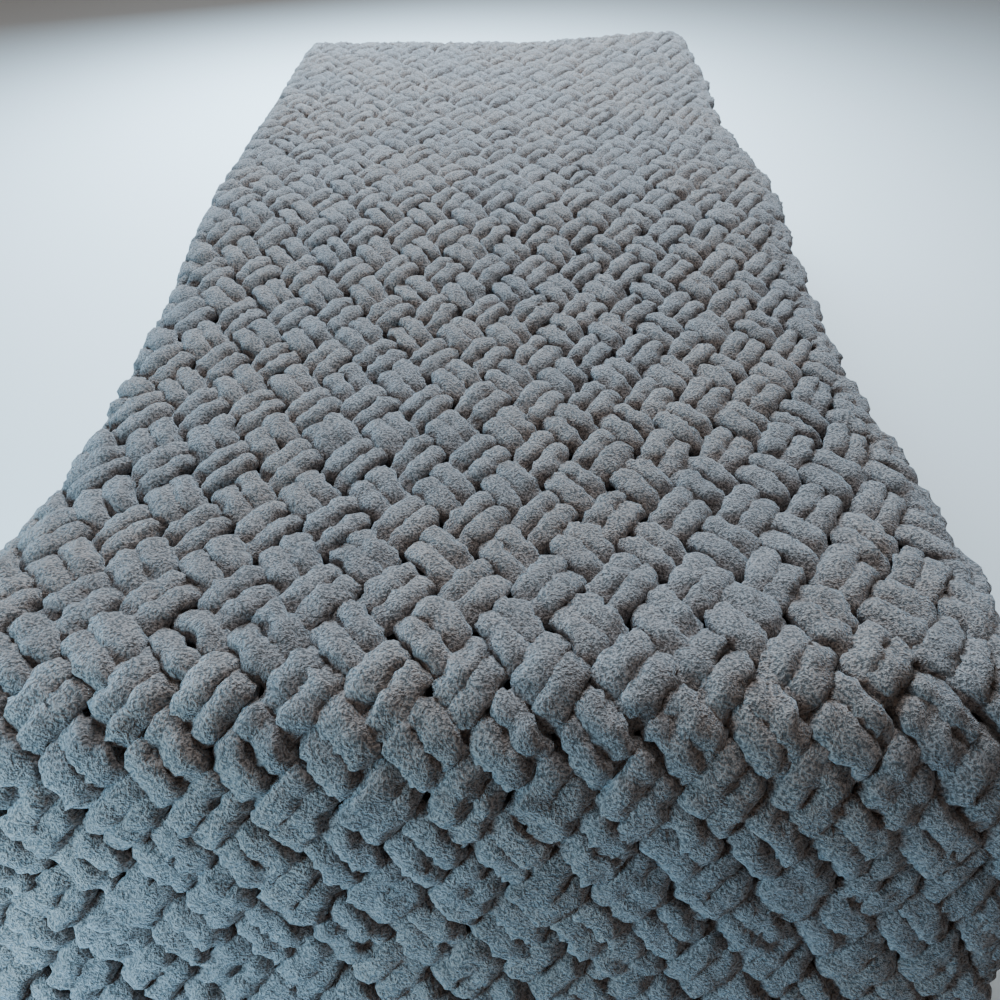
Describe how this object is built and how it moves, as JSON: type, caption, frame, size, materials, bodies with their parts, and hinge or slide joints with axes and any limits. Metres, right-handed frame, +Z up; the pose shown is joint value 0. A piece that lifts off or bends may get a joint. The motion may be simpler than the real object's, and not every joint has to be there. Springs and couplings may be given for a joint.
{
  "type": "chunky knit blanket on a mattress",
  "caption": "Very thick chenille knit blanket with a woven-looking cable pattern, lying on a plain mattress and falling over its rounded foot end.",
  "frame": {"origin": "centre of the mattress's flat underside", "axes": "+X to the right side, +Y to the far (head) end, +Z up; the blanket falls over the foot end towards -Y"},
  "size_m": [0.9318, 1.9204, 0.3951],
  "materials": {
    "chenille_yarn": "matte velvety grey-blue chenille yarn",
    "ticking": "matte plain woven off-white cotton cover"
  },
  "bodies": {
    "root": {"blanket": "chenille_yarn", "mattress": "ticking"}
  },
  "joints": []
}
